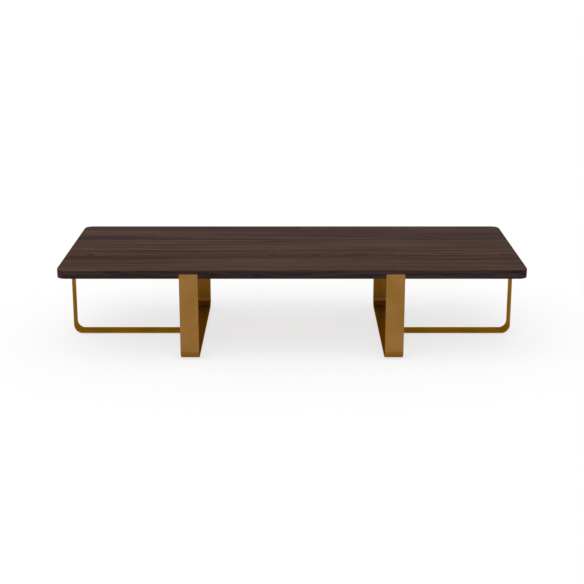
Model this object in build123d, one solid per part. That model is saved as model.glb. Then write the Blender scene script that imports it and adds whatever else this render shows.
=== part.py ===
"""Raised serving board: edge-glued walnut staves carried on two bent brass strap frames.

Each frame is a U-shaped cross strap that runs front to back, with an L-shaped end strap brazed to its
floor run. Every upright ends in a shallow notch in the board's edge, and an angle bracket behind it is
screwed up into the board. X is the length, Y the depth with the front at -Y, and Z = 0 is the table.
All lengths are in millimetres.
"""
import os

from build123d import *

# Board
LENGTH = 600.0
DEPTH = 250.0
BOARD_THICKNESS = 12.0
BOARD_CORNER_RADIUS = 11.5
BOARD_EDGE_ROUNDING = 1.0
FRONT_STAVE_WIDTH = 49.0
FRONT_MIDDLE_STAVE_WIDTH = 61.0
REAR_MIDDLE_STAVE_WIDTH = 52.0

# Strap frames: height from the floor runs' underside to the board's top face
FRAME_HEIGHT = 120.0
STRAP_WIDTH = 24.0
STRAP_THICKNESS = 1.5
STRAP_BEND_RADIUS = 12.0
STRAP_CORNER_RADIUS = 1.0
STRAP_EDGE_ROUNDING = 0.45
CROSS_STRAP_X = 132.0
UPRIGHT_LAP = BOARD_THICKNESS / 2
NOTCH_CLEARANCE = 0.1

# Angle brackets under the board
BRACKET_WIDTH = 20.0
BRACKET_THICKNESS = 1.5
BRACKET_REACH = 32.0
BRACKET_DROP = 12.0
BRACKET_BEND_RADIUS = 3.0
BRACKET_CORNER_RADIUS = 3.0
SCREW_SPACING = 12.0
SCREW_SETBACK = 12.0

# Pan head wood screws
SCREW_LENGTH = 9.5
THREAD_RADIUS = 1.75
THREAD_ROOT_RADIUS = 1.25
THREAD_PITCH = 1.25
THREAD_TURNS = 5
THREAD_START = 1.9
# Where one turn's lower foot, crest and upper foot lie, as shares of the pitch
THREAD_PROFILE = (0.1, 0.5, 0.9)
HEAD_RADIUS = 3.4
HEAD_HEIGHT = 2.2
HEAD_RIM_HEIGHT = 0.9
RECESS_LENGTH = 3.6
RECESS_WIDTH = 0.9
RECESS_DEPTH = 1.3
BRACKET_HOLE_RADIUS = 2.0
PILOT_EXTRA_DEPTH = 0.3

# Round felt feet under the floor runs
FOOT_RADIUS = 8.0
FOOT_THICKNESS = 1.0
FOOT_CHAMFER = 0.2
FOOT_SETBACK = 30.0

# Heights above the table
FRAME_Z = FOOT_THICKNESS
BOARD_TOP_Z = FRAME_Z + FRAME_HEIGHT
BOARD_UNDERSIDE_Z = BOARD_TOP_Z - BOARD_THICKNESS
UPRIGHT_HEIGHT = BOARD_UNDERSIDE_Z + UPRIGHT_LAP - FRAME_Z

SIDES = {"left": -1, "right": 1}

# Two lengths or places this close are the same
SAME = 1e-4
# The share of a direction that lies along an axis when the two count as parallel
PARALLEL = 0.99


def bent_strip(outer_points, inner_points, width, bend_radius, thickness):
    """Strip of metal bent to an open line in the XZ plane, centred on Y = 0."""
    outer = FilletPolyline(*outer_points, radius=bend_radius)
    inner = FilletPolyline(*inner_points, radius=bend_radius - thickness)
    far_end = Line(outer @ 1, inner @ 0)
    near_end = Line(inner @ 1, outer @ 0)
    section = make_face([outer, far_end, inner, near_end])
    return extrude(Plane.XZ * section, width / 2, both=True)


def u_strip(run, rise, width, thickness, bend_radius):
    """Strip with a floor run on Z = 0 and an upright at each end, both uprights' outer faces at run / 2."""
    outer_x = run / 2
    inner_x = outer_x - thickness
    outer_points = [(-outer_x, rise), (-outer_x, 0), (outer_x, 0), (outer_x, rise)]
    inner_points = [(inner_x, rise), (inner_x, thickness), (-inner_x, thickness), (-inner_x, rise)]
    return bent_strip(outer_points, inner_points, width, bend_radius, thickness)


def l_strip(run, rise, width, thickness, bend_radius):
    """Strip with one upright, whose outer face is at X = 0, and a run on Z = 0 that reaches to X = run."""
    outer_points = [(0, rise), (0, 0), (run, 0)]
    inner_points = [(run, thickness), (thickness, thickness), (thickness, rise)]
    return bent_strip(outer_points, inner_points, width, bend_radius, thickness)


def round_strip_corners(strip, rise, thickness, corner_radius):
    """Round the two corners at the top of each upright, as seen square on to its broad face."""
    corners = [
        edge for edge in strip.edges()
        if abs(edge.length - thickness) < SAME and abs(edge.center().Z - rise) < SAME
    ]
    return fillet(corners, corner_radius)


def soften_strip_edges(strip, rise, thickness, rounding, square_end_x=None):
    """Take the sharpness off every edge but the flush bend lines, and but a square end that is brazed."""
    def is_soft(edge):
        middle = edge.center()
        across_thickness = abs(edge.length - thickness) < SAME
        across_width = abs(edge.tangent_at(0.5).Y) > PARALLEL
        bend_line = across_width and abs(middle.Z - rise) > SAME
        square_end = square_end_x is not None and abs(middle.X - square_end_x) < SAME
        return not (across_thickness or bend_line or square_end)

    return fillet([edge for edge in strip.edges() if is_soft(edge)], rounding)


def cross_strap():
    """U-shaped strap in its own frame: floor run along X, uprights at both ends, standing on Z = 0."""
    strip = u_strip(DEPTH, UPRIGHT_HEIGHT, STRAP_WIDTH, STRAP_THICKNESS, STRAP_BEND_RADIUS)
    strip = round_strip_corners(strip, UPRIGHT_HEIGHT, STRAP_THICKNESS, STRAP_CORNER_RADIUS)
    return soften_strip_edges(strip, UPRIGHT_HEIGHT, STRAP_THICKNESS, STRAP_EDGE_ROUNDING)


def end_strap():
    """L-shaped strap in its own frame: upright at X = 0, floor run reaching to the cross strap's side."""
    run = LENGTH / 2 - CROSS_STRAP_X - STRAP_WIDTH / 2
    strip = l_strip(run, UPRIGHT_HEIGHT, STRAP_WIDTH, STRAP_THICKNESS, STRAP_BEND_RADIUS)
    strip = round_strip_corners(strip, UPRIGHT_HEIGHT, STRAP_THICKNESS, STRAP_CORNER_RADIUS)
    return soften_strip_edges(strip, UPRIGHT_HEIGHT, STRAP_THICKNESS, STRAP_EDGE_ROUNDING, run)


def screw_distances():
    """How far each of a bracket's screws stands from the bracket's upright face."""
    return [SCREW_SETBACK, SCREW_SETBACK + SCREW_SPACING]


def bracket():
    """Angle bracket in its own frame: upright leg's face at X = 0, top face at Z = 0, reaching along +X."""
    angle = l_strip(BRACKET_REACH, BRACKET_DROP, BRACKET_WIDTH, BRACKET_THICKNESS, BRACKET_BEND_RADIUS)
    corners = [edge for edge in angle.edges() if abs(edge.length - BRACKET_THICKNESS) < SAME]
    angle = fillet(corners, BRACKET_CORNER_RADIUS)
    for distance in screw_distances():
        angle -= Pos(distance, 0, 0) * Cylinder(BRACKET_HOLE_RADIUS, 4 * BRACKET_THICKNESS)
    return Rot(180, 0, 0) * angle


def screw():
    """Pan head wood screw pointing up: the head's seat is on Z = 0 and the point is at +Z."""
    lower_foot, crest, upper_foot = THREAD_PROFILE
    outline = [(0, SCREW_LENGTH)]
    for turn in reversed(range(THREAD_TURNS)):
        turn_z = THREAD_START + turn * THREAD_PITCH
        outline += [
            (THREAD_ROOT_RADIUS, turn_z + THREAD_PITCH * upper_foot),
            (THREAD_RADIUS, turn_z + THREAD_PITCH * crest),
            (THREAD_ROOT_RADIUS, turn_z + THREAD_PITCH * lower_foot),
        ]
    outline += [(THREAD_ROOT_RADIUS, 0), (HEAD_RADIUS, 0), (HEAD_RADIUS, -HEAD_RIM_HEIGHT)]
    side = Polyline(*outline)
    dome = TangentArc((0, -HEAD_HEIGHT), (HEAD_RADIUS, -HEAD_RIM_HEIGHT), tangent=(1, 0))
    centre_line = Line((0, -HEAD_HEIGHT), (0, SCREW_LENGTH))
    body = revolve(Plane.XZ * make_face([side, dome, centre_line]), Axis.Z)
    recess_z = -HEAD_HEIGHT + RECESS_DEPTH / 2
    slot = Box(RECESS_LENGTH, RECESS_WIDTH, RECESS_DEPTH)
    return body - Pos(0, 0, recess_z) * (slot + Rot(0, 0, 90) * slot)


def foot():
    """Round felt foot standing on Z = 0."""
    disc = Pos(0, 0, FOOT_THICKNESS / 2) * Cylinder(FOOT_RADIUS, FOOT_THICKNESS)
    return chamfer(disc.edges().filter_by(GeomType.CIRCLE), FOOT_CHAMFER)


def upright_places():
    """Each upright's name, and the placement of its outer face: local +X points in under the board."""
    places = {}
    for side, sign in SIDES.items():
        x = sign * CROSS_STRAP_X
        places[side + "_front"] = Pos(x, -DEPTH / 2, 0) * Rot(0, 0, 90)
        places[side + "_rear"] = Pos(x, DEPTH / 2, 0) * Rot(0, 0, -90)
        places[side + "_end"] = Pos(sign * LENGTH / 2, 0, 0) * Rot(0, 0, 0 if sign < 0 else 180)
    return places


def notch():
    """Room for the top of one upright in the board's edge, in the upright's own placement."""
    height = UPRIGHT_LAP + NOTCH_CLEARANCE
    width = STRAP_WIDTH + 2 * NOTCH_CLEARANCE
    cutter = Box(2 * STRAP_THICKNESS, width, 2 * height)
    return Pos(0, 0, BOARD_UNDERSIDE_Z) * cutter


def pilot_holes():
    """Screw holes up into the board behind one upright, in the upright's own placement."""
    depth = SCREW_LENGTH - BRACKET_THICKNESS + PILOT_EXTRA_DEPTH
    hole = Pos(0, 0, BOARD_UNDERSIDE_Z) * Cylinder(THREAD_RADIUS, 2 * depth)
    return [Pos(STRAP_THICKNESS + distance, 0, 0) * hole for distance in screw_distances()]


def whole_board():
    """The board before it is divided into staves, with its edges, notches and screw holes."""
    blank = extrude(RectangleRounded(LENGTH, DEPTH, BOARD_CORNER_RADIUS), BOARD_THICKNESS)
    rims = blank.faces().sort_by(Axis.Z)[0].edges() + blank.faces().sort_by(Axis.Z)[-1].edges()
    board = Pos(0, 0, BOARD_UNDERSIDE_Z) * fillet(rims, BOARD_EDGE_ROUNDING)
    for place in upright_places().values():
        board -= place * notch()
        for hole in pilot_holes():
            board -= place * hole
    return board


def staves():
    """The board's staves, each running its full length, from the front edge to the rear edge."""
    widths = {
        "front_stave": FRONT_STAVE_WIDTH,
        "front_middle_stave": FRONT_MIDDLE_STAVE_WIDTH,
        "rear_middle_stave": REAR_MIDDLE_STAVE_WIDTH,
    }
    widths["rear_stave"] = DEPTH - sum(widths.values())
    board = whole_board()
    pieces = {}
    front_y = -DEPTH / 2
    for name, width in widths.items():
        room = Pos(0, front_y + width / 2, BOARD_UNDERSIDE_Z) * Box(LENGTH, width, 4 * BOARD_THICKNESS)
        pieces[name] = board & room
        front_y += width
    return pieces


def straps():
    """The two cross straps and the two end straps in their places."""
    pieces = {}
    for side, sign in SIDES.items():
        pieces[side + "_cross_strap"] = Pos(sign * CROSS_STRAP_X, 0, FRAME_Z) * Rot(0, 0, 90) * cross_strap()
        end_place = upright_places()[side + "_end"]
        pieces[side + "_end_strap"] = end_place * Pos(0, 0, FRAME_Z) * end_strap()
    return pieces


def brackets_and_screws():
    """One angle bracket with two screws behind each upright."""
    pieces = {}
    for name, place in upright_places().items():
        corner = place * Pos(STRAP_THICKNESS, 0, BOARD_UNDERSIDE_Z)
        pieces[name + "_bracket"] = corner * bracket()
        for label, distance in zip(["outer", "inner"], screw_distances()):
            seat = corner * Pos(distance, 0, -BRACKET_THICKNESS)
            pieces[name + "_" + label + "_screw"] = seat * screw()
    return pieces


def feet():
    """Two felt feet under each cross strap and one under each end strap."""
    pieces = {}
    foot_y = DEPTH / 2 - FOOT_SETBACK
    for side, sign in SIDES.items():
        pieces[side + "_front_foot"] = Pos(sign * CROSS_STRAP_X, -foot_y, 0) * foot()
        pieces[side + "_rear_foot"] = Pos(sign * CROSS_STRAP_X, foot_y, 0) * foot()
        pieces[side + "_end_foot"] = Pos(sign * (LENGTH / 2 - FOOT_SETBACK), 0, 0) * foot()
    return pieces


def main():
    os.makedirs("parts", exist_ok=True)
    nodes = {**staves(), **straps(), **brackets_and_screws(), **feet()}
    for name, shape in nodes.items():
        export_step(shape, "parts/" + name + ".step")
        print(name, round(shape.volume, 1), "mm3")


main()
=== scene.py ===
# %% [markdown]
# # A walnut serving board on brass straps
# The object is a low board of four walnut staves, glued edge to edge, on two frames of bent brass strap.
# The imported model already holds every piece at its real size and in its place, so this lesson adds
# what a drawing can't hold: the figure of the wood, the satin of the metal, the felt under the feet and
# the little beads of braze at the joints. It ends with a plain pale floor, soft light and a camera.

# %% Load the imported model
import math
import bpy
from mathutils import Matrix, Vector


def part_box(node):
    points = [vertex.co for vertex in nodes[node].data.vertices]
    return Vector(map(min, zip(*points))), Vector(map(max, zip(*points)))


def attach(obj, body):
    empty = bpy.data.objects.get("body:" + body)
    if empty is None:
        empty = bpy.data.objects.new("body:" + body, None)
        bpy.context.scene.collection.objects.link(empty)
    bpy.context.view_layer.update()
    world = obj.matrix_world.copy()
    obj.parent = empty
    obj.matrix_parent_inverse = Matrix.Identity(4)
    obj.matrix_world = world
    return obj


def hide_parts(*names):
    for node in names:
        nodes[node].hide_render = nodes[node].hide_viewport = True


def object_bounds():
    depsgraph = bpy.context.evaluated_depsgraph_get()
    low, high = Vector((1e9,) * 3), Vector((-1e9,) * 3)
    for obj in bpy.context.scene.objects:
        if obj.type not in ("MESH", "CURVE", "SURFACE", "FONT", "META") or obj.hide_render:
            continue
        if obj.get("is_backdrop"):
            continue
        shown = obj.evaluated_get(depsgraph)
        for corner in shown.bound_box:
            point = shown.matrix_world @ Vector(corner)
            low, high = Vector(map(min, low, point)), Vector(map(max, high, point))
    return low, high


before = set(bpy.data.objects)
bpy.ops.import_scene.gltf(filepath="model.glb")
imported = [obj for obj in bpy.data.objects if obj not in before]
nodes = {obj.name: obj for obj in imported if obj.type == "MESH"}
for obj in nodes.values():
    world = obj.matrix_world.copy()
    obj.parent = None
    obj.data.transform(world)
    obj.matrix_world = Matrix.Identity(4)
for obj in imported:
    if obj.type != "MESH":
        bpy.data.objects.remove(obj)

MM = 0.001
cad_low, cad_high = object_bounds()
print("the model is", [round((high - low) / MM, 1) for low, high in zip(cad_low, cad_high)], "mm")

# %% [markdown]
# ## A workshop of small helpers for shader nodes
# A material is a tree of nodes, and building one by hand is mostly placing a node, setting it and joining
# it up. A few short helpers do that, so that the lines below read like the sums they stand for. Each
# takes numbers, colours or the output of another node, and gives back its own output.

# %% Helpers for placing nodes and for sums
def place(tree, kind, **settings):
    """Put one node in a tree and set its options."""
    node = tree.nodes.new(kind)
    for name, value in settings.items():
        setattr(node, name, value)
    return node


def feed(tree, socket, value):
    """Join an output to a socket, or set the socket to a plain value."""
    if isinstance(value, bpy.types.NodeSocket):
        tree.links.new(value, socket)
    else:
        socket.default_value = value


def sums(tree, operation, *terms, clamp=False):
    """One Math node on its terms."""
    node = place(tree, "ShaderNodeMath", operation=operation, use_clamp=clamp)
    for socket, term in zip(node.inputs, terms):
        feed(tree, socket, term)
    return node.outputs[0]


def times(tree, first, second):
    """One number or mask multiplied by another."""
    return sums(tree, "MULTIPLY", first, second)


def gap(tree, first, second):
    """How far apart two numbers are."""
    return sums(tree, "ABSOLUTE", sums(tree, "SUBTRACT", first, second))


# %% Helpers for vectors and noise
def stretch(tree, vector, along):
    """A position multiplied axis by axis, to stretch or squeeze the pattern that reads it."""
    node = place(tree, "ShaderNodeVectorMath", operation="MULTIPLY")
    feed(tree, node.inputs[0], vector)
    feed(tree, node.inputs[1], along)
    return node.outputs[0]


def shift(tree, vector, by):
    """A position moved by another vector."""
    node = place(tree, "ShaderNodeVectorMath", operation="ADD")
    feed(tree, node.inputs[0], vector)
    feed(tree, node.inputs[1], by)
    return node.outputs[0]


def join_xyz(tree, x, y, z):
    """Three numbers as one vector."""
    node = place(tree, "ShaderNodeCombineXYZ")
    for socket, term in zip(node.inputs, (x, y, z)):
        feed(tree, socket, term)
    return node.outputs[0]


def split_xyz(tree, vector):
    """One vector as three numbers, X, Y and Z."""
    node = place(tree, "ShaderNodeSeparateXYZ")
    feed(tree, node.inputs[0], vector)
    return node.outputs


NOISE_SPAN = (0.3, 0.7)      # noise can reach from 0 to 1, but nearly all of it lies between these


def cloud(tree, vector, detail=2.0, roughness=0.5, distortion=0.0):
    """Noise from 0 to 1 over a position, with features about one unit across."""
    node = place(tree, "ShaderNodeTexNoise")
    feed(tree, node.inputs["Vector"], vector)
    node.inputs["Scale"].default_value = 1.0
    node.inputs["Detail"].default_value = detail
    node.inputs["Roughness"].default_value = roughness
    node.inputs["Distortion"].default_value = distortion
    return node.outputs["Fac"]


# %% Helpers for ranges and colours
def spread(tree, value, low, high, to_low=0.0, to_high=1.0):
    """Map a range of values to another range, smoothly, and hold it at both ends."""
    node = place(tree, "ShaderNodeMapRange", interpolation_type="SMOOTHSTEP")
    for socket, term in zip(node.inputs, (value, low, high, to_low, to_high)):
        feed(tree, socket, term)
    return node.outputs["Result"]


def mix(tree, amount, first, second):
    """Blend two colours."""
    node = place(tree, "ShaderNodeMix", data_type="RGBA", blend_type="MIX")
    feed(tree, node.inputs[0], amount)
    feed(tree, node.inputs[6], first)
    feed(tree, node.inputs[7], second)
    return node.outputs[2]


def tint(red, green, blue):
    """A colour as a paint card gives it, 0 to 255 a channel, turned to the light that it reflects."""
    def to_light(channel):
        share = channel / 255
        return share / 12.92 if share <= 0.04045 else ((share + 0.055) / 1.055) ** 2.4
    return (to_light(red), to_light(green), to_light(blue), 1.0)


# %% [markdown]
# ## Making a node group
# The grain, the metal's satin and the rubbed edges with their painted highlight are each used by several
# materials, so each is a node group: built once, with named inputs, and placed in a material with that
# material's own values. A group here gives out only masks and heights, and the shader itself always stays
# in the material.

# %% Helpers for groups and materials
def new_group(name, inputs, outputs):
    """An empty node group with its named sockets, its start node and its end node."""
    group = bpy.data.node_groups.new(name, "ShaderNodeTree")
    for label, kind in inputs.items():
        group.interface.new_socket(label, in_out="INPUT", socket_type="NodeSocket" + kind)
    for label in outputs:
        group.interface.new_socket(label, in_out="OUTPUT", socket_type="NodeSocketFloat")
    return group, group.nodes.new("NodeGroupInput").outputs, group.nodes.new("NodeGroupOutput").inputs


def use_group(tree, group, **values):
    """Place a group in a material. An underscore in a name stands for a space."""
    node = place(tree, "ShaderNodeGroup", node_tree=group)
    for name, value in values.items():
        feed(tree, node.inputs[name.replace("_", " ")], value)
    return node.outputs


def new_material(name, **plain):
    """A material with one Principled shader, and the plain values that are the same all over it."""
    material = bpy.data.materials.new(name)
    material.use_nodes = True
    shader = material.node_tree.nodes["Principled BSDF"]
    for label, value in plain.items():
        shader.inputs[label.replace("_", " ")].default_value = value
    return material, material.node_tree, shader.inputs


def position(tree):
    """The place of each point in the object's own frame, in metres."""
    return place(tree, "ShaderNodeTexCoord").outputs["Object"]


def facing(tree):
    """Which way the face at each point looks, as three numbers from -1 to 1. Z is up."""
    return split_xyz(tree, place(tree, "ShaderNodeNewGeometry").outputs["Normal"])


def relief(tree, height, depth, strength):
    """A normal that is pushed in and out by a height from 0 to 1, which is worth depth in metres."""
    node = place(tree, "ShaderNodeBump")
    node.inputs["Strength"].default_value = strength
    node.inputs["Distance"].default_value = depth
    feed(tree, node.inputs["Height"], height)
    return node.outputs["Normal"]


def give_finish(node, material):
    """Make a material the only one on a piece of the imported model."""
    node.data.materials.clear()
    node.data.materials.append(material)


# %% [markdown]
# ## Rubbed edges, with a painted highlight
# Hands and cloths polish a corner before they polish a face, and a rounded corner catches the light, so
# this mask stands for both: partly wear and partly a painted highlight. A mask for that could be painted,
# or read from the mesh's own creases, but these meshes have no points in the middle of their faces. The
# Bevel node looks sideways for a second face instead, so where its normal leans away from the true one
# there is an edge.

# %% Group: rubbed edges and painted edge highlight
EDGE_LEAN = (0.002, 0.12)
PATCH_SHAPE = (60, 60, 60)
PATCH_RANGE = (0.25, 0.6)
PATCH_WEAR_AND_HIGHLIGHT = (0.35, 1.0)
rubbed_highlit_edges, given, result = new_group(
    "rubbed_highlit_edges", {"Reach": "Float", "Vector": "Vector"}, ["Mask"])
softened = place(rubbed_highlit_edges, "ShaderNodeBevel", samples=6)
feed(rubbed_highlit_edges, softened.inputs["Radius"], given["Reach"])
lean = place(rubbed_highlit_edges, "ShaderNodeVectorMath", operation="DOT_PRODUCT")
feed(rubbed_highlit_edges, lean.inputs[0], softened.outputs["Normal"])
feed(rubbed_highlit_edges, lean.inputs[1], place(rubbed_highlit_edges, "ShaderNodeNewGeometry").outputs["Normal"])
# This edge mask stands for rubbed wear and for a painted highlight along the edges.
edge = spread(rubbed_highlit_edges, sums(rubbed_highlit_edges, "SUBTRACT", 1.0, lean.outputs["Value"]), *EDGE_LEAN)
patches = cloud(rubbed_highlit_edges, stretch(rubbed_highlit_edges, given["Vector"], PATCH_SHAPE), detail=3)
patches = spread(rubbed_highlit_edges, patches, *PATCH_RANGE, *PATCH_WEAR_AND_HIGHLIGHT)
feed(rubbed_highlit_edges, result["Mask"], times(rubbed_highlit_edges, edge, patches))
print("group", rubbed_highlit_edges.name)

# %% [markdown]
# ## Walnut, cut from the tree
# A stave is cut out of a log, and what shows on its faces is where they slice the growth rings. So the
# wood is a solid pattern: the distance from the tree's heart, which runs along the stave and wanders a
# little, divided into rings. A face that cuts the rings squarely shows straight lines, a face that only
# grazes them shows tall pointed arches, and the ends show arcs, with nothing painted by hand. Finer
# streaks, fibres and the open pores of walnut are noise pulled out along the grain. The long pale and
# dark lines are the contours of such a noise, as on a map: each follows one level of it.

# %% Group: walnut figure
figure, given, result = new_group(
    "walnut_figure",
    {"Vector": "Vector", "Heart Y": "Float", "Heart Z": "Float", "Wander": "Float",
     "Bends": "Float", "Ring": "Float", "Seed": "Float"},
    ["Rings", "Streaks", "Pale Lines", "Dark Lines", "Smoke", "Fibres", "Pores"])
print("group", figure.name)

# %% [markdown]
# ## The heart and its rings
# The heart swings about in Y and in Z by two noises, each read at an offset of its own. Around it, a ring
# darkens slowly to its dense edge and ends sharply there, and some years are darker than others. A small
# ripple keeps the rings from being perfect circles.

# %% Growth rings
HEART_OFFSETS = {"Y": 3.7, "Z": 11.3}
RIPPLE_SHAPE = (16, 60, 60)
RIPPLE_DEPTH = 3 * MM
RING_EDGE = 0.86
RING_SLOWNESS = 1.6
YEAR_WEIGHT = (0.35, 1.0)

where = split_xyz(figure, given["Vector"])
along = times(figure, where["X"], given["Bends"])
from_heart = {}
for axis, offset in HEART_OFFSETS.items():
    track = join_xyz(figure, along, given["Seed"], offset)
    swing = sums(figure, "SUBTRACT", cloud(figure, track, detail=1.5), 0.5)
    heart = sums(figure, "MULTIPLY_ADD", swing, given["Wander"], given["Heart " + axis])
    from_heart[axis] = sums(figure, "SUBTRACT", where[axis], heart)
square = times(figure, from_heart["Y"], from_heart["Y"])
distance = sums(figure, "SQRT", sums(figure, "MULTIPLY_ADD", from_heart["Z"], from_heart["Z"], square))
ripple = cloud(figure, stretch(figure, given["Vector"], RIPPLE_SHAPE), detail=2)
distance = sums(figure, "MULTIPLY_ADD", ripple, RIPPLE_DEPTH, distance)
count = sums(figure, "DIVIDE", distance, given["Ring"])
growth = sums(figure, "FRACT", count)
year = place(figure, "ShaderNodeTexWhiteNoise", noise_dimensions="1D")
feed(figure, year.inputs["W"], sums(figure, "ADD", sums(figure, "FLOOR", count), given["Seed"]))
rise = sums(figure, "POWER", spread(figure, growth, 0.0, RING_EDGE), RING_SLOWNESS)
fall = spread(figure, growth, RING_EDGE, 1.0, 1.0, 0.0)
weight = spread(figure, year.outputs["Value"], 0.0, 1.0, *YEAR_WEIGHT)
feed(figure, result["Rings"], times(figure, times(figure, rise, fall), weight))
print("rings darken up to", RING_EDGE, "of their width")

# %% [markdown]
# ## Finer marks along the grain
# The rest of the figure is noise at several scales, each pulled out along the stave. The scale of a mark
# is how many of it go into a metre along, across and through the board.

# %% Streaks, lines, smoke, fibres and pores
STREAK_SHAPE = (3.2, 150, 150)
STREAK_RANGE = (0.42, 0.60)
SHADE_SHAPE = (1.6, 22, 22)
LINE_SHAPE = (1.1, 46, 46)
LINE_LEVELS = {"Pale Lines": 0.54, "Dark Lines": 0.44}
LINE_REACH = 0.045
SMOKE_SHAPE = (17, 210, 210)
SMOKE_RANGE = (0.46, 0.64)
SMOKE_CURL = 1.4
FIBRE_SHAPE = (22, 1300, 1300)
PORE_SHAPE = (190, 2600, 2600)
PORE_RANGE = (0.62, 0.70)
seeded = join_xyz(figure, given["Seed"], given["Seed"], 0.0)


def seeded_cloud(shape, **settings):
    """Noise pulled out to a shape, at a place of its own for each seed."""
    return cloud(figure, shift(figure, stretch(figure, given["Vector"], shape), seeded), **settings)


shade = seeded_cloud(SHADE_SHAPE, detail=2)
streak = seeded_cloud(STREAK_SHAPE, detail=4)
streaks = sums(figure, "ADD", times(figure, shade, 0.5), times(figure, streak, 0.5))
feed(figure, result["Streaks"], spread(figure, streaks, *STREAK_RANGE))
contours = seeded_cloud(LINE_SHAPE, detail=3)
for label, level in LINE_LEVELS.items():
    feed(figure, result[label], spread(figure, gap(figure, contours, level), 0.0, LINE_REACH, 1.0, 0.0))
smoke = seeded_cloud(SMOKE_SHAPE, detail=3, distortion=SMOKE_CURL)
feed(figure, result["Smoke"], spread(figure, smoke, *SMOKE_RANGE))
fibre = cloud(figure, stretch(figure, given["Vector"], FIBRE_SHAPE), detail=3, roughness=0.6)
feed(figure, result["Fibres"], fibre)
pore = cloud(figure, stretch(figure, given["Vector"], PORE_SHAPE), detail=1)
feed(figure, result["Pores"], spread(figure, pore, *PORE_RANGE))
print("the figure gives", [socket.name for socket in result if socket.name])

# %% [markdown]
# ## Four staves, four pieces of wood
# Each stave comes from another part of the log, so each has its own heart, ring width and tone. The front
# stave's heart lies out in front and below, and so its front edge grazes the rings and shows dark
# swirls, while its top shows quiet straight grain. The next stave's heart is right below it, which
# gives its row of small arches. The two at the rear are quieter. The heart is given in millimetres from
# the stave's own lowest corner, in depth and in height, and so are its wander and the width of a ring.
# Bends go by the metre, and rings, streaks and smoke are strengths, from 0 for none to 1.

# %% The wood of each stave
STAVES = {
    "front_stave": dict(
        heart=(-48, -34), wander=24, bends=7.0, ring=4.6, seed=2.3, rings=0.20, streaks=0.85, smoke=0.12,
        light=tint(84, 63, 50), dark=tint(38, 27, 25), brown=tint(68, 51, 41)),
    "front_middle_stave": dict(
        heart=(30, -14), wander=17, bends=12.0, ring=2.7, seed=7.9, rings=0.62, streaks=0.85, smoke=0.25,
        light=tint(90, 65, 52), dark=tint(36, 23, 20), brown=tint(73, 53, 43)),
    "rear_middle_stave": dict(
        heart=(-60, -60), wander=14, bends=4.0, ring=5.4, seed=4.1, rings=0.25, streaks=0.85, smoke=0.15,
        light=tint(85, 64, 52), dark=tint(38, 28, 25), brown=tint(67, 51, 42)),
    "rear_stave": dict(
        heart=(120, -45), wander=26, bends=3.0, ring=6.2, seed=9.6, rings=0.30, streaks=0.85, smoke=0.20,
        light=tint(86, 64, 53), dark=tint(36, 26, 27), brown=tint(64, 48, 44)),
}
print(len(STAVES), "staves, with rings", [wood["ring"] for wood in STAVES.values()], "mm wide")

# %% [markdown]
# ## Where a stave differs from face to face
# Cut sides drink more oil than the top, so they are darker and show more smoke and rings. The left end
# of the long sides is a pale band of younger wood. The underside has had only one thin coat, so it is
# paler. Each stave has a pale strip along its rear edge, a hair of dark glue where it meets the next, and
# arrises made paler, most of all at the left end, partly as rubbed wear and partly as a painted highlight.
# Every one of these is a mask from where a point is and which way its face looks, so it stays with the
# wood whatever the view.

# %% Masks for the parts of a stave
SIDE_TURN = (0.25, 0.75)
UNDER_TURN = (-0.995, -0.95)
ARRIS_START = (0.2, 0.5)
ARRIS_END = (0.92, 0.99)
PALE_END = 150 * MM
PALE_STRIP = 5.0 * MM
GLUE_LINE = 0.25 * MM
THIN_OIL = 0.5
STRIP_STRENGTH = 0.5
STRIP_PATCHES = (0.4, 1.0)
# The arrises' paler tone is partly rubbed wear and partly a painted highlight.
WOOD_WEAR_AND_HIGHLIGHT = 0.45
WOOD_EDGE = 1.2 * MM


def glue_mask(tree, y, stave_low, stave_high):
    """A mask that is 1 on the hair of glue at a stave's inner edges, and 0 elsewhere."""
    mask = 0.0
    for joint in (stave_low, stave_high):
        if cad_low.y + MM < joint < cad_high.y - MM:
            near = spread(tree, gap(tree, y, joint), GLUE_LINE * 0.3, GLUE_LINE, 1.0, 0.0)
            mask = sums(tree, "MAXIMUM", mask, near)
    return mask


def stave_masks(tree, point, low, high, streaks):
    """The parts of a stave that differ from its top, each as a mask."""
    spot = split_xyz(tree, point)
    faces = facing(tree)
    left_end = spread(tree, spot["X"], low.x, low.x + PALE_END, 1.0, 0.0)
    long_side = spread(tree, sums(tree, "ABSOLUTE", faces["Y"]), *SIDE_TURN, 0.0, 1.0)
    strip = spread(tree, spot["Y"], high.y - PALE_STRIP, high.y - PALE_STRIP / 3, 0.0, STRIP_STRENGTH)
    # The arris mask paints the rounded arris paler at the left end: partly wear, partly a painted highlight.
    arris = spread(tree, faces["Z"], *ARRIS_END, 1.0, 0.0)
    arris = times(tree, arris, spread(tree, faces["Z"], *ARRIS_START, 0.0, 1.0))
    worn_and_highlit = use_group(tree, rubbed_highlit_edges, Vector=point, Reach=WOOD_EDGE)["Mask"]
    return {
        "side": spread(tree, sums(tree, "ABSOLUTE", faces["Z"]), *SIDE_TURN, 1.0, 0.0),
        "long_side": long_side,
        "pale_end": times(tree, times(tree, left_end, long_side), streaks),
        "under": spread(tree, faces["Z"], *UNDER_TURN, THIN_OIL, 0.0),
        "strip": times(tree, strip, spread(tree, streaks, 0.0, 1.0, *STRIP_PATCHES)),
        "bare_and_highlit": sums(tree, "MAXIMUM", times(tree, worn_and_highlit, WOOD_WEAR_AND_HIGHLIGHT), times(tree, arris, left_end)),
        "glue": glue_mask(tree, spot["Y"], low.y, high.y),
    }
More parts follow.
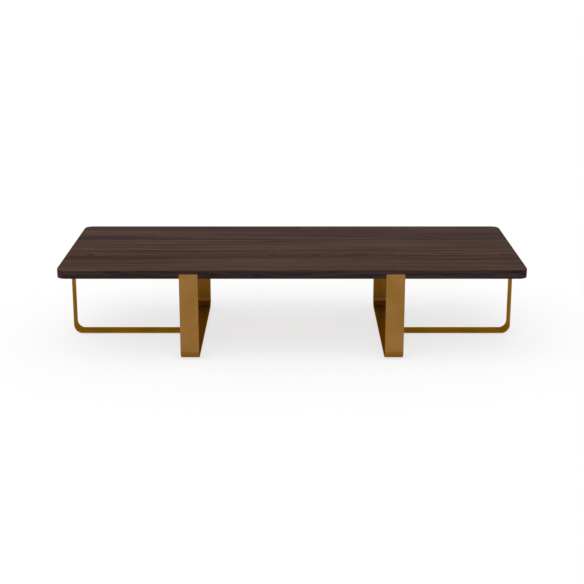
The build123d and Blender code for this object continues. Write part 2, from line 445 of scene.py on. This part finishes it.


# %% [markdown]
# ## The tones of oiled walnut
# The colour is laid on in layers: a brown ground with lighter streaks, pale and dark lines, smoke and
# rings, then the fibres, the oil and the open pores, and last the pale strip, the arrises made paler by
# wear and a painted highlight, and the glue. Oil leaves wood satin, a little shinier on the dark dense
# rings and duller in the pores.

# %% Tones and sheen of walnut
SIDE_TONE = tint(59, 45, 45)
SIDE_PALE_TONE = tint(84, 63, 52)
SIDE_DARK = tint(34, 24, 25)
PALE_STRIP_TONE = tint(98, 75, 61)
RUBBED_HIGHLIGHT_TONE = tint(104, 80, 65)
# Paler tone for the arrises: rubbed wear and a painted highlight.
RAW_TONE = tint(138, 108, 84)
PORE_TONE = tint(24, 16, 14)
GLUE_TONE = tint(34, 23, 19)
SMOKE_ON_SIDE = 0.55
RINGS_ON_SIDE = 0.35
PALE_LINES = 0.55
DARK_LINES = 0.40
FIBRES = (0.0, 0.22)
PORES = 0.55
OIL_GLOSS = 0.005
SMEAR_SHAPE = (9, 14, 9)
SATIN_WOOD = (0.50, 0.60)
RING_SHINE = -0.05
PORE_DULLNESS = 0.2
GRAIN_DEPTH = 0.06 * MM


def wood_figure(tree, wood, cut, masks):
    """The ground of a stave with its streaks, lines, smoke and rings."""
    side_ground = mix(tree, masks["pale_end"], SIDE_TONE, SIDE_PALE_TONE)
    face_ground = mix(tree, times(tree, cut["Streaks"], wood["streaks"]), wood["brown"], wood["light"])
    ground = mix(tree, masks["side"], face_ground, side_ground)
    dark = mix(tree, masks["side"], wood["dark"], SIDE_DARK)
    smoke = sums(tree, "MULTIPLY_ADD", masks["long_side"], SMOKE_ON_SIDE, wood["smoke"])
    rings = sums(tree, "MULTIPLY_ADD", masks["side"], RINGS_ON_SIDE, wood["rings"])
    lined = mix(tree, times(tree, cut["Pale Lines"], PALE_LINES), ground, wood["light"])
    lined = mix(tree, times(tree, cut["Dark Lines"], DARK_LINES), lined, dark)
    smoked = mix(tree, times(tree, cut["Smoke"], smoke), lined, dark)
    return mix(tree, times(tree, cut["Rings"], rings), smoked, dark)


def wood_surface(tree, wood, cut, masks, figured):
    """The figured wood with its fibres, its oil, its open pores, its wear with a painted highlight, and its
    glue.
    """
    fibred = mix(tree, spread(tree, cut["Fibres"], *NOISE_SPAN, *FIBRES), figured, wood["dark"])
    oiled = mix(tree, masks["under"], fibred, RAW_TONE)
    pored = mix(tree, times(tree, cut["Pores"], PORES), oiled, PORE_TONE)
    striped = mix(tree, masks["strip"], pored, PALE_STRIP_TONE)
    # Arrises made paler, by rubbed wear and a painted highlight.
    rubbed = mix(tree, masks["bare_and_highlit"], striped, RUBBED_HIGHLIGHT_TONE)
    return mix(tree, masks["glue"], rubbed, GLUE_TONE)


def wood_sheen(tree, point, cut):
    """How dull the oiled wood is, from place to place."""
    smear = cloud(tree, stretch(tree, point, SMEAR_SHAPE), detail=3)
    satin = spread(tree, smear, *NOISE_SPAN, *SATIN_WOOD)
    satin = sums(tree, "MULTIPLY_ADD", cut["Rings"], RING_SHINE, satin)
    return sums(tree, "MULTIPLY_ADD", cut["Pores"], PORE_DULLNESS, satin, clamp=True)


# %% Walnut for each stave
def walnut(stave, wood):
    """Oiled walnut for one stave."""
    low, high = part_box(stave)
    material, tree, shader = new_material("walnut_" + stave, Specular_IOR_Level=OIL_GLOSS)
    point = position(tree)
    heart_y = low.y + wood["heart"][0] * MM
    heart_z = low.z + wood["heart"][1] * MM
    cut = use_group(
        tree, figure, Vector=point, Heart_Y=heart_y, Heart_Z=heart_z, Wander=wood["wander"] * MM,
        Bends=wood["bends"], Ring=wood["ring"] * MM, Seed=wood["seed"])
    masks = stave_masks(tree, point, low, high, cut["Streaks"])
    figured = wood_figure(tree, wood, cut, masks)
    feed(tree, shader["Base Color"], wood_surface(tree, wood, cut, masks, figured))
    feed(tree, shader["Roughness"], wood_sheen(tree, point, cut))
    ridges = sums(tree, "SUBTRACT", cut["Fibres"], cut["Pores"])
    feed(tree, shader["Normal"], relief(tree, ridges, GRAIN_DEPTH, 0.5))
    return material


for stave, wood in STAVES.items():
    give_finish(nodes[stave], walnut(stave, wood))
    print("walnut on", stave)

# %% [markdown]
# ## Satin brass
# The straps are flat bar, linished along their length, lacquered, and toned down to an old gold. Real
# brass mirrors the room, so most of its look comes from the lights, and the material mostly sets how
# sharply it does so. Very fine lines run along the strap, a soft mottle lies under the lacquer, and the
# edges are painted a little brighter, as rubbed wear and as a painted highlight. A strap lies in one plane
# as it bends, so lines that run along it are noise that changes quickly across that plane and slowly
# within it. Faces that look down or in under the board get a deeper, darker gold, which is painted shade.

# %% Group: satin metal
MOTTLE_SHAPE = (420, 420, 420)
SMUDGE_SHAPE = (16, 16, 16)
satin_metal, given, result = new_group(
    "satin_metal", {"Vector": "Vector", "Lines": "Vector", "Seed": "Float"}, ["Lines", "Mottle", "Smudge"])
moved = shift(satin_metal, given["Vector"], join_xyz(satin_metal, given["Seed"], given["Seed"], 0.0))
lines = cloud(satin_metal, stretch(satin_metal, moved, given["Lines"]), detail=3, roughness=0.65)
mottle = cloud(satin_metal, stretch(satin_metal, moved, MOTTLE_SHAPE), detail=4, roughness=0.6)
smudge = cloud(satin_metal, stretch(satin_metal, moved, SMUDGE_SHAPE), detail=3)
feed(satin_metal, result["Lines"], lines)
feed(satin_metal, result["Mottle"], mottle)
feed(satin_metal, result["Smudge"], spread(satin_metal, smudge, *NOISE_SPAN))
print("group", satin_metal.name)

# %% Satin metal
# The next four numbers place the painted shade on faces under the board and set how dark it is.
INWARD_TURN = (-0.8, -0.2)
DOWNWARD_TURN = (-0.28, 0.0)
DOWNWARD_SHARE = 0.9
PAINTED_SHADE_DEPTH = 0.9
METAL_EDGE = 0.6 * MM
LINE_DEPTH = 0.012 * MM
SMUDGES = (0.0, 0.7)
MOTTLE_SPAN = (0.35, 0.65)
MOTTLES = (0.0, 0.35)
LINES = (0.0, 0.25)
# The metal's paler edge tone is rubbed wear and a painted highlight.
EDGE_WEAR_AND_HIGHLIGHT = 0.25
SHEEN_SPREAD = 0.04
LINE_DULLNESS = 0.18
EDGE_SHINE = -0.08
MOTTLE_HEIGHT = 0.6


def painted_shade_mask(tree, point):
    """A mask that is 1 on faces which look down or in under the board, and 0 on all others: where painted
    shade goes.
    """
    faces = facing(tree)
    outward = times(tree, faces["Y"], split_xyz(tree, point)["Y"])
    inward = spread(tree, outward, *[turn * cad_high.y for turn in INWARD_TURN], 1.0, 0.0)
    downward = spread(tree, faces["Z"], *DOWNWARD_TURN, DOWNWARD_SHARE, 0.0)
    return sums(tree, "MAXIMUM", inward, downward)


def metal(name, lines, light, deep, inner, edge, grazing, rough, seed, depth=LINE_DEPTH):
    """Satin metal: a colour range, a painted shade tone for faces under the board, the rubbed edge's colour
    with its painted highlight, a roughness and the way its lines run.
    """
    material, tree, shader = new_material(name, Metallic=1.0, Specular_Tint=grazing)
    point = position(tree)
    face = use_group(tree, satin_metal, Vector=point, Lines=lines, Seed=seed)
    worn_and_highlit = use_group(tree, rubbed_highlit_edges, Vector=point, Reach=METAL_EDGE)["Mask"]
    base = mix(tree, spread(tree, face["Smudge"], 0.0, 1.0, *SMUDGES), light, deep)
    # Painted shade: faces that look down or in under the board get the darker inner tone.
    base = mix(tree, times(tree, painted_shade_mask(tree, point), PAINTED_SHADE_DEPTH), base, inner)
    mottled = mix(tree, spread(tree, face["Mottle"], *MOTTLE_SPAN, *MOTTLES), base, deep)
    lined = mix(tree, spread(tree, face["Lines"], *NOISE_SPAN, *LINES), mottled, light)
    # Paler edges: rubbed wear and a painted highlight in one tone.
    feed(tree, shader["Base Color"], mix(tree, times(tree, worn_and_highlit, EDGE_WEAR_AND_HIGHLIGHT), lined, edge))
    sheen = spread(tree, face["Smudge"], 0.0, 1.0, rough - SHEEN_SPREAD, rough + SHEEN_SPREAD)
    sheen = sums(tree, "MULTIPLY_ADD", sums(tree, "SUBTRACT", face["Lines"], 0.5), LINE_DULLNESS, sheen)
    feed(tree, shader["Roughness"], sums(tree, "MULTIPLY_ADD", worn_and_highlit, EDGE_SHINE, sheen, clamp=True))
    height = sums(tree, "ADD", face["Lines"], times(tree, face["Mottle"], MOTTLE_HEIGHT))
    feed(tree, shader["Normal"], relief(tree, height, depth, 0.5))
    return material


# %% Brass for the straps and brackets, zinc for the screws
ALONG_YZ = (2400, 30, 30)
ALONG_XZ = (30, 2400, 30)
EVERY_WAY = (900, 900, 900)
# In OLD_GOLD, inner is a painted shade tone for faces under the board, and edge is rubbed wear with a
# painted highlight.
OLD_GOLD = dict(
    light=tint(152, 112, 62), deep=tint(134, 94, 38), inner=tint(126, 81, 4), edge=tint(176, 134, 76),
    grazing=tint(196, 174, 86))
brass = {
    "cross_strap": metal("satin_brass_cross_strap", ALONG_YZ, rough=0.42, seed=1.0, **OLD_GOLD),
    "end_strap": metal("satin_brass_end_strap", ALONG_XZ, rough=0.42, seed=2.0, **OLD_GOLD),
    "bracket": metal("satin_brass_bracket", EVERY_WAY, rough=0.46, seed=3.0, **OLD_GOLD),
}
# The zinc's inner tone is painted shade as well, and its edge tone is wear with a painted highlight.
zinc = metal(
    "zinc_plated_screw", EVERY_WAY, light=tint(196, 196, 192), deep=tint(170, 168, 160),
    inner=tint(176, 175, 170), edge=tint(222, 222, 220), grazing=tint(250, 250, 250), rough=0.30, seed=4.0,
    depth=0.006 * MM)
for name, node in nodes.items():
    finish = next((brass[kind] for kind in brass if name.endswith(kind)), None)
    if name.endswith("_screw"):
        finish = zinc
    if finish:
        give_finish(node, finish)
print("metal on", sum(name.endswith(("strap", "bracket", "screw")) for name in nodes), "pieces")

# %% [markdown]
# ## Shaping with operators
# The pieces that follow are modelled as by hand: a primitive at its size and place, then work in edit
# mode. An operator works on whatever is selected, so each step first clears the selection and then picks
# its faces or edges by where they are.

# %% Helpers for modelling
def clear_selection():
    """Leave edit mode and select nothing."""
    if bpy.context.object and bpy.context.object.mode != "OBJECT":
        bpy.ops.object.mode_set(mode="OBJECT")
    bpy.ops.object.select_all(action="DESELECT")


def pick(piece, domain, wanted):
    """Go to edit mode with only the wanted faces or edges selected."""
    bpy.ops.object.mode_set(mode="EDIT")
    bpy.ops.mesh.select_mode(type=domain)
    bpy.ops.mesh.select_all(action="DESELECT")
    bpy.ops.object.mode_set(mode="OBJECT")
    for item in piece.data.polygons if domain == "FACE" else piece.data.edges:
        item.select = wanted(item)
    bpy.ops.object.mode_set(mode="EDIT")


def edge_ends(piece, edge):
    """The two ends of an edge."""
    return [piece.data.vertices[index].co for index in edge.vertices]


def edge_rise(piece, edge):
    """How far an edge climbs from one end to the other."""
    first, second = edge_ends(piece, edge)
    return abs(first.z - second.z)


def roughen(piece, size, strength):
    """Push a mesh in and out along its normals by a soft cloud pattern, and keep the result."""
    texture = bpy.data.textures.new(piece.name + "_cloud", "CLOUDS")
    texture.noise_scale = size
    texture.noise_depth = 2
    displace = piece.modifiers.new("roughen", "DISPLACE")
    displace.texture = texture
    displace.texture_coords = "GLOBAL"
    displace.strength = strength
    bpy.ops.object.modifier_apply(modifier=displace.name)


def settle(piece, name, material):
    """Name a finished piece, set it at the origin with its place in its mesh, and give it its finish."""
    bpy.ops.object.mode_set(mode="OBJECT")
    bpy.ops.object.transform_apply(location=True, rotation=True, scale=True)
    piece.name = name
    piece.data.materials.append(material)
    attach(piece, "root")


# %% [markdown]
# ## Felt feet
# Under each floor run sits a round foot of pressed felt, glued on so that the metal can't mark a table.
# A stamped disc of felt isn't a clean cylinder: its rim bulges a little where it is squeezed, and its
# edge is fibrous. It starts as a short cylinder, its rims are bevelled, its faces are inset into rings
# so that there is something to push about, and a fine cloud pattern roughens it. One foot is made, and
# the others are copies, each with its own mesh.

# %% Felt for the feet
FLUFF_SHAPE = (1500, 1500, 1500)
CLUMP_SHAPE = (300, 300, 300)
FELT_DARK = tint(38, 30, 26)
FELT_LIGHT = tint(66, 55, 47)
FELT_DULLNESS = (0.85, 0.97)
FELT_DEPTH = 0.08 * MM
felt, tree, shader = new_material("pressed_felt", Sheen_Weight=0.5, Sheen_Roughness=0.6)
point = position(tree)
fluff = cloud(tree, stretch(tree, point, FLUFF_SHAPE), detail=4, roughness=0.7, distortion=1.5)
clump = cloud(tree, stretch(tree, point, CLUMP_SHAPE), detail=3)
feed(tree, shader["Base Color"], mix(tree, spread(tree, fluff, *NOISE_SPAN), FELT_DARK, FELT_LIGHT))
feed(tree, shader["Roughness"], spread(tree, clump, *NOISE_SPAN, *FELT_DULLNESS))
feed(tree, shader["Normal"], relief(tree, sums(tree, "ADD", fluff, clump), FELT_DEPTH, 0.8))
print("material", felt.name)

# %% One foot
FOOT_SIDES = 72
FACE_RINGS = 3
RING_WIDTH = 0.22
RIM_BEVEL = 0.22 * MM
FELT_FLUFF = 0.05 * MM
TUFT_SIZE = 0.7 * MM
LEVEL_WITHIN = 0.01 * MM
UPRIGHT_OVER = 0.3 * MM
foot_nodes = sorted(name for name in nodes if name.endswith("_foot"))
low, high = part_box(foot_nodes[0])
first_middle = (low + high) / 2
foot_height = high.z - low.z
foot_radius = (high.x - low.x) / 2
rim_reach = foot_radius * 0.9

clear_selection()
bpy.ops.mesh.primitive_cylinder_add(
    vertices=FOOT_SIDES, radius=foot_radius - FELT_FLUFF, depth=foot_height - 2 * FELT_FLUFF,
    location=first_middle)
foot = bpy.context.object
pick(foot, "FACE", lambda face: abs(face.normal.z) > 0.9)
for ring in range(FACE_RINGS):
    bpy.ops.mesh.inset(thickness=foot_radius * RING_WIDTH)
pick(foot, "EDGE", lambda edge: all(end.xy.length > rim_reach for end in edge_ends(foot, edge))
     and edge_rise(foot, edge) < LEVEL_WITHIN)
bpy.ops.mesh.bevel(offset=RIM_BEVEL, segments=3)
pick(foot, "EDGE", lambda edge: edge_ends(foot, edge)[0].xy.length > rim_reach
     and edge_rise(foot, edge) > UPRIGHT_OVER)
bpy.ops.mesh.subdivide(number_cuts=2)
bpy.ops.object.mode_set(mode="OBJECT")
roughen(foot, TUFT_SIZE, FELT_FLUFF)
bpy.ops.object.shade_smooth()
settle(foot, "felt_" + foot_nodes[0], felt)
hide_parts(foot_nodes[0])
print(foot.name, "of", len(foot.data.polygons), "faces")

# %% Its copies
for name in foot_nodes[1:]:
    low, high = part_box(name)
    twin = foot.copy()
    twin.data = foot.data.copy()
    twin.data.transform(Matrix.Translation((low + high) / 2 - first_middle))
    bpy.context.scene.collection.objects.link(twin)
    twin.name = "felt_" + name
    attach(twin, "root")
    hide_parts(name)
print(len(foot_nodes), "feet in all")

# %% [markdown]
# ## Beads of braze
# The end strap's floor run meets the cross strap edge to edge, and the brackets stand against the backs
# of the uprights. On the real thing they are brazed, and the filler shows as a fine bead in each joint,
# dressed nearly flush. Each bead is a thin cylinder, cut into short lengths, rounded at its ends and
# gently rippled, laid half sunk into the joint.

# %% One bead of braze
BEAD_RADIUS = 0.5 * MM
BEAD_SIDES = 14
CUT_LENGTH = 1.5
TIP_SHARE = 0.1
TIP_BEVEL = 0.45
RIPPLE = 0.1 * MM
RIPPLE_SIZE = 1.6 * MM


def braze_bead(name, start, end):
    """One bead from start to end."""
    clear_selection()
    run = end - start
    turn = run.to_track_quat("Z", "Y").to_euler()
    bpy.ops.mesh.primitive_cylinder_add(
        vertices=BEAD_SIDES, radius=BEAD_RADIUS, depth=run.length, location=(start + end) / 2, rotation=turn)
    bead = bpy.context.object
    pick(bead, "EDGE", lambda edge: edge_rise(bead, edge) > BEAD_RADIUS)
    bpy.ops.mesh.subdivide(number_cuts=int(run.length / BEAD_RADIUS / CUT_LENGTH))
    tip = run.length / 2 - BEAD_RADIUS * TIP_SHARE
    pick(bead, "EDGE", lambda edge: all(abs(end_point.z) > tip for end_point in edge_ends(bead, edge)))
    bpy.ops.mesh.bevel(offset=BEAD_RADIUS * TIP_BEVEL, segments=3)
    bpy.ops.object.mode_set(mode="OBJECT")
    roughen(bead, RIPPLE_SIZE, RIPPLE)
    bpy.ops.object.shade_smooth()
    settle(bead, name, brass["bracket"])


# %% All the beads
STRAP_THICKNESS = 1.5 * MM
SUNK = 0.42 * MM
STRAP_INSET = 0.8 * MM
BRACKET_INSET = 4 * MM
bead_names = []
for side in ("left", "right"):
    low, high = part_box(side + "_end_strap")
    floor_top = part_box(side + "_cross_strap")[0].z + STRAP_THICKNESS
    joint_x = high.x if side == "left" else low.x
    for label, z in {"upper": floor_top - SUNK, "lower": low.z + SUNK}.items():
        start = Vector((joint_x, low.y + STRAP_INSET, z))
        end = Vector((joint_x, high.y - STRAP_INSET, z))
        bead_names.append(side + "_strap_joint_" + label + "_bead")
        braze_bead(bead_names[-1], start, end)
    for spot in ("front", "rear", "end"):
        low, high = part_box(side + "_" + spot + "_bracket")
        if spot == "end":
            wall_x = low.x if side == "left" else high.x
            start = Vector((wall_x, low.y + BRACKET_INSET, low.z))
            end = Vector((wall_x, high.y - BRACKET_INSET, low.z))
        else:
            wall_y = low.y if spot == "front" else high.y
            start = Vector((low.x + BRACKET_INSET, wall_y, low.z))
            end = Vector((high.x - BRACKET_INSET, wall_y, low.z))
        bead_names.append(side + "_" + spot + "_bracket_bead")
        braze_bead(bead_names[-1], start, end)
print(len(bead_names), "beads")

# %% [markdown]
# ## Floor, light and camera
# A pale floor, a bright even room and one very broad lamp overhead make soft shadows and long calm
# reflections in the brass. The lamp is a sun with a wide disc, because its light is the same all over
# the floor. The floor is milky and lit from below, like a light table, which keeps the shadows on it
# faint. The room lights the object a little less brightly than it shows behind it, so that the far edge
# of the floor melts into white. The camera stands in front, a little above, looking down at the board.

# %% Floor
FLOOR_SIZE = 60.0
FLOOR_GLOW = 0.70
FLOOR_CLOUDS = (6, 6, 6)
MILKY_DARK = (0.26, 0.26, 0.26, 1.0)
MILKY_LIGHT = (0.27, 0.27, 0.27, 1.0)
WHITE = (1.0, 1.0, 1.0, 1.0)
bpy.ops.mesh.primitive_plane_add(size=FLOOR_SIZE, location=(0, 0, 0))
floor = bpy.context.object
floor.name = "studio_floor"
milky, tree, shader = new_material(
    "light_table", Specular_IOR_Level=0.0, Emission_Color=WHITE, Emission_Strength=FLOOR_GLOW)
clouds = cloud(tree, stretch(tree, position(tree), FLOOR_CLOUDS), detail=3)
feed(tree, shader["Base Color"], mix(tree, clouds, MILKY_DARK, MILKY_LIGHT))
feed(tree, shader["Roughness"], spread(tree, clouds, *NOISE_SPAN, 0.9, 1.0))
floor.data.materials.append(milky)
floor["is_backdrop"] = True
print("floor", FLOOR_SIZE, "m wide, with a glow of", FLOOR_GLOW)

# %% Light
ROOM_LIGHT = 0.86
ROOM_SEEN = 1.0
LAMP_LIGHT = 1.15
LAMP_WIDTH = 75
LAMP_TILT = (28, -18)
world = bpy.data.worlds.new("studio")
bpy.context.scene.world = world
world.use_nodes = True
room = world.node_tree.nodes["Background"].inputs
room["Color"].default_value = WHITE
seen = place(world.node_tree, "ShaderNodeLightPath").outputs["Is Camera Ray"]
feed(world.node_tree, room["Strength"], spread(world.node_tree, seen, 0.0, 1.0, ROOM_LIGHT, ROOM_SEEN))
lamp = bpy.data.lights.new("broad_lamp", "SUN")
lamp.energy = LAMP_LIGHT
lamp.angle = math.radians(LAMP_WIDTH)
lamp_holder = bpy.data.objects.new("broad_lamp", lamp)
lamp_holder.rotation_euler = [math.radians(turn) for turn in (*LAMP_TILT, 0)]
bpy.context.scene.collection.objects.link(lamp_holder)
bpy.context.scene.view_settings.view_transform = "Standard"
print("room light", ROOM_LIGHT, "and lamp light", LAMP_LIGHT)

# %% Camera
CAMERA_BACK = 1.6885
CAMERA_UP = 0.5335
CAMERA_PITCH = 15.77
LENS = 78.6
SENSOR = 36
camera = bpy.data.objects.new("camera", bpy.data.cameras.new("camera"))
camera.location = (0, -CAMERA_BACK, CAMERA_UP)
camera.rotation_euler = (math.radians(90 - CAMERA_PITCH), 0, 0)
camera.data.lens = LENS
camera.data.sensor_width = SENSOR
bpy.context.scene.collection.objects.link(camera)
bpy.context.scene.camera = camera
print("camera", [round(part, 3) for part in camera.location])

# %% [markdown]
# ## Check the size and finish
# The looks mustn't change the object's size, so the imported model's box and the finished model's box are
# both printed.

# %% Sizes, and the end
low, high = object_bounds()
print("finished size", [round((top - bottom) / MM, 1) for bottom, top in zip(low, high)], "mm")
